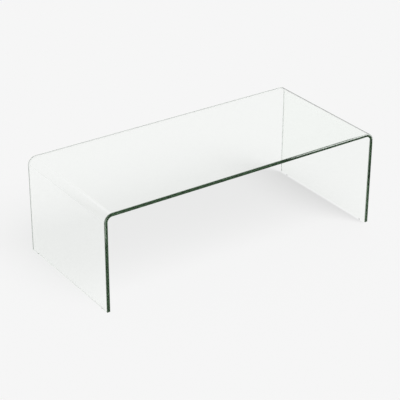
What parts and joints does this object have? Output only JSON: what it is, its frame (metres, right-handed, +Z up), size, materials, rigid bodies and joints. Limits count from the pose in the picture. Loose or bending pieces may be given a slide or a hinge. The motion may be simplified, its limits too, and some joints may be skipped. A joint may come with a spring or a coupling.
{
  "type": "waterfall coffee table",
  "caption": "Low table bent from a sheet of clear glass: a level top that curves down at each end into an upright panel leg, on clear floor pads.",
  "frame": {"origin": "on the floor, at the middle of the table's footprint, straight under the middle of the top", "axes": "+X along the table's length towards its right leg, +Y across the sheet from its front edge to its rear edge, +Z up"},
  "size_m": [1.1, 0.5, 0.36],
  "materials": {
    "float_glass": "gloss: clear toughened float glass, fire-finished faces, machine-polished edges that look dark green from the side",
    "pad_elastomer": "satin, clear moulded polyurethane elastomer",
    "pad_adhesive": "gloss, clear acrylic pressure-sensitive adhesive"
  },
  "bodies": {
    "root": {"bent_glass_sheet": "float_glass", "floor_pad_front_left": "pad_elastomer", "floor_pad_rear_left": "pad_elastomer", "floor_pad_front_right": "pad_elastomer", "floor_pad_rear_right": "pad_elastomer", "pad_adhesive_front_left": "pad_adhesive", "pad_adhesive_rear_left": "pad_adhesive", "pad_adhesive_front_right": "pad_adhesive", "pad_adhesive_rear_right": "pad_adhesive"}
  },
  "joints": []
}
